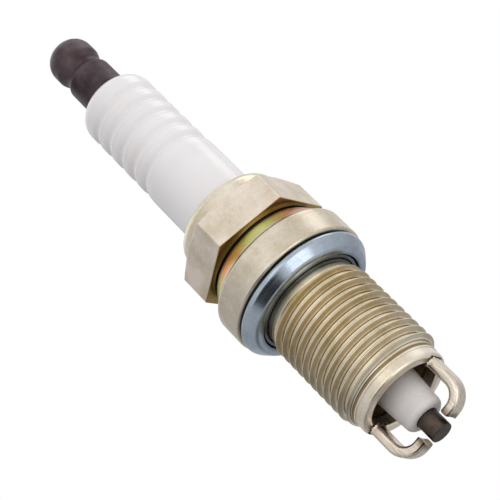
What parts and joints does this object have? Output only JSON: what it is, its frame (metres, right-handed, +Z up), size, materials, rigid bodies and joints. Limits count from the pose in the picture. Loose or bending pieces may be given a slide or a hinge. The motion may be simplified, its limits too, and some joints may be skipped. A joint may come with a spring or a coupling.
{
  "type": "spark plug",
  "caption": "Resistor spark plug with a folded seat gasket, hexagon shell, ribbed white insulator, screw-on terminal nut and side electrodes.",
  "frame": {"origin": "on the plug's axis, in the plane of the flange's sealing face, where the thread's reach is measured from", "axes": "+X along the plug's axis towards the firing end; +Z up with the plug lying on its side; +Y completes a right-handed frame"},
  "size_m": [0.0762, 0.0188, 0.0188],
  "materials": {
    "shell_nickel": "nickel-plated steel with a warm sheen",
    "insulator_alumina": "white glazed alumina, bare at the nose",
    "terminal_steel": "dark gunmetal-brown oxide",
    "stud_steel": "plain steel",
    "gasket_zinc": "bright zinc-plated folded steel",
    "electrode_nickel_dark": "dark nickel alloy",
    "core_copper": "plain copper",
    "electrode_nickel": "bright nickel alloy",
    "washer_steel": "plain steel",
    "talc": "pressed powder",
    "seal_glass": "dark conductive glass",
    "resistor": "matt carbon-loaded ceramic"
  },
  "bodies": {
    "plug": {"shell": "shell_nickel", "insulator": "insulator_alumina", "terminal_stud": "stud_steel", "upper_glass_seal": "seal_glass", "resistor_element": "resistor", "lower_glass_seal": "seal_glass", "centre_electrode_sheath": "electrode_nickel_dark", "centre_electrode_core": "core_copper", "ground_electrode_a": "electrode_nickel", "ground_electrode_b": "electrode_nickel", "inner_seat_washer": "washer_steel", "lower_packing_ring": "washer_steel", "talc_packing": "talc", "upper_packing_ring": "washer_steel"},
    "terminal_nut": {"terminal_nut": "terminal_steel"},
    "seat_gasket": {"seat_gasket": "gasket_zinc"}
  },
  "joints": [
    {"name": "terminal_nut_removal", "type": "slide", "parent": "plug", "child": "terminal_nut", "axis": [-1, 0, 0], "range_m": [0, 0.012]},
    {"name": "gasket_float", "type": "slide", "parent": "plug", "child": "seat_gasket", "axis": [1, 0, 0], "range_m": [-0.0001, 0.0011]}
  ]
}
